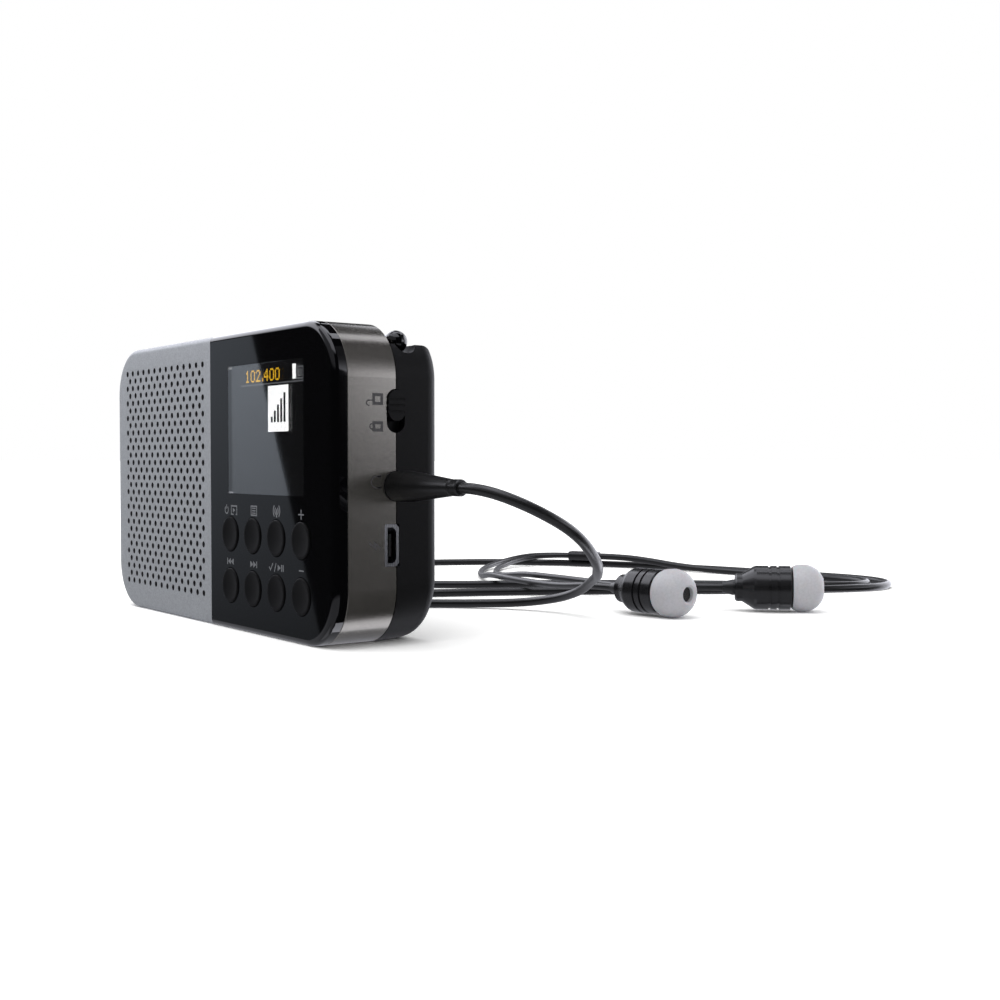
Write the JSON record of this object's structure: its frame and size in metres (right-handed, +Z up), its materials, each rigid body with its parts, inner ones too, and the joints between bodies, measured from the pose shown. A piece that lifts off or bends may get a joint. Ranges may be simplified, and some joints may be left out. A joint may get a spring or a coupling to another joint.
{
  "type": "portable radio",
  "caption": "Pocket-size portable radio with a perforated speaker grille, display, round push buttons, folding telescopic antenna, and in-ear earphones plugged into its side",
  "frame": {"origin": "on the table, under the middle of the case; the free earphone cord is left out", "axes": "+X to the right when facing the front, +Y to the back, +Z up"},
  "size_m": [0.2137, 0.2021, 0.064],
  "materials": {
    "band_paint": "satin metallic gunmetal paint over moulded plastic",
    "silver_paint": "satin silver-grey metallic paint",
    "gloss_black": "piano-black gloss",
    "key_black": "satin-gloss black",
    "matte_black": "fine-textured matte black",
    "lens": "clear gloss acrylic",
    "display": "dark display glass in a metal frame",
    "steel": "plain steel",
    "chrome": "bright chrome plate",
    "ferrite": "sintered magnet",
    "paper": "coated paper cone",
    "cloth": "open black dust cloth",
    "foam": "closed-cell foam",
    "board": "green glass-fibre board",
    "component": "moulded component black",
    "cell": "wrapped flat cell",
    "contact": "plated contact metal",
    "cord_rubber": "black semi-gloss elastomer",
    "bud_black": "satin black shell",
    "tip_silicone": "pale grey silicone"
  },
  "bodies": {
    "radio": {"front_housing": "band_paint", "speaker_grille": "silver_paint", "fascia": "gloss_black", "rear_cover": "matte_black", "display_lens": "lens", "display_module": "display", "case_screws": "steel", "board_screws": "steel", "speaker_frame": "steel", "radio_shield": "steel", "usb_socket": "steel", "antenna_nut": "steel", "antenna_bracket": "chrome", "antenna_pivot": "chrome", "speaker_magnet": "ferrite", "speaker_cone": "paper", "grille_cloth": "cloth", "speaker_gasket": "foam", "main_board": "board", "key_switches": "component", "headphone_jack": "component", "usb_tongue": "component", "lock_switch": "component", "battery": "cell"},
    "power_button": {"power_button": "key_black"},
    "menu_button": {"menu_button": "key_black"},
    "preset_button": {"preset_button": "key_black"},
    "volume_up_button": {"volume_up_button": "key_black"},
    "previous_button": {"previous_button": "key_black"},
    "next_button": {"next_button": "key_black"},
    "select_button": {"select_button": "key_black"},
    "volume_down_button": {"volume_down_button": "key_black"},
    "lock": {"lock_slider": "matte_black"},
    "antenna_arm": {"antenna_knuckle": "chrome", "antenna_tube_1": "chrome"},
    "antenna_stage_2": {"antenna_tube_2": "chrome"},
    "antenna_stage_3": {"antenna_tube_3": "chrome"},
    "antenna_stage_4": {"antenna_rod": "chrome", "antenna_tip": "matte_black"},
    "earphones": {"plug_body": "cord_rubber", "plug_pin": "contact", "main_cord": "cord_rubber", "cord_splitter": "cord_rubber", "left_cord": "cord_rubber", "right_cord": "cord_rubber", "left_earbud_shell": "bud_black", "left_ear_tip": "tip_silicone", "left_cord_relief": "cord_rubber", "right_earbud_shell": "bud_black", "right_ear_tip": "tip_silicone", "right_cord_relief": "cord_rubber"}
  },
  "joints": [
    {"name": "power_press", "type": "slide", "parent": "radio", "child": "power_button", "axis": [0, 1, 0], "range_m": [0, 0.0005], "stiffness_N_per_m": 1500, "springref_m": -0.0003},
    {"name": "menu_press", "type": "slide", "parent": "radio", "child": "menu_button", "axis": [0, 1, 0], "range_m": [0, 0.0005], "stiffness_N_per_m": 1500, "springref_m": -0.0003},
    {"name": "preset_press", "type": "slide", "parent": "radio", "child": "preset_button", "axis": [0, 1, 0], "range_m": [0, 0.0005], "stiffness_N_per_m": 1500, "springref_m": -0.0003},
    {"name": "volume_up_press", "type": "slide", "parent": "radio", "child": "volume_up_button", "axis": [0, 1, 0], "range_m": [0, 0.0005], "stiffness_N_per_m": 1500, "springref_m": -0.0003},
    {"name": "previous_press", "type": "slide", "parent": "radio", "child": "previous_button", "axis": [0, 1, 0], "range_m": [0, 0.0005], "stiffness_N_per_m": 1500, "springref_m": -0.0003},
    {"name": "next_press", "type": "slide", "parent": "radio", "child": "next_button", "axis": [0, 1, 0], "range_m": [0, 0.0005], "stiffness_N_per_m": 1500, "springref_m": -0.0003},
    {"name": "select_press", "type": "slide", "parent": "radio", "child": "select_button", "axis": [0, 1, 0], "range_m": [0, 0.0005], "stiffness_N_per_m": 1500, "springref_m": -0.0003},
    {"name": "volume_down_press", "type": "slide", "parent": "radio", "child": "volume_down_button", "axis": [0, 1, 0], "range_m": [0, 0.0005], "stiffness_N_per_m": 1500, "springref_m": -0.0003},
    {"name": "lock_slide", "type": "slide", "parent": "radio", "child": "lock", "axis": [0, 0, -1], "range_m": [0, 0.0021]},
    {"name": "antenna_fold", "type": "hinge", "parent": "radio", "child": "antenna_arm", "pos_m": [-0.0453, 0.0055, 0.0603], "axis": [0, -1, 0], "range_deg": [0, 90]},
    {"name": "antenna_slide_2", "type": "slide", "parent": "antenna_arm", "child": "antenna_stage_2", "axis": [1, 0, 0], "range_m": [0, 0.066]},
    {"name": "antenna_slide_3", "type": "slide", "parent": "antenna_stage_2", "child": "antenna_stage_3", "axis": [1, 0, 0], "range_m": [0, 0.066]},
    {"name": "antenna_slide_4", "type": "slide", "parent": "antenna_stage_3", "child": "antenna_stage_4", "axis": [1, 0, 0], "range_m": [0, 0.066]},
    {"name": "plug_slide", "type": "slide", "parent": "radio", "child": "earphones", "axis": [1, 0, 0], "range_m": [0, 0.016]}
  ]
}
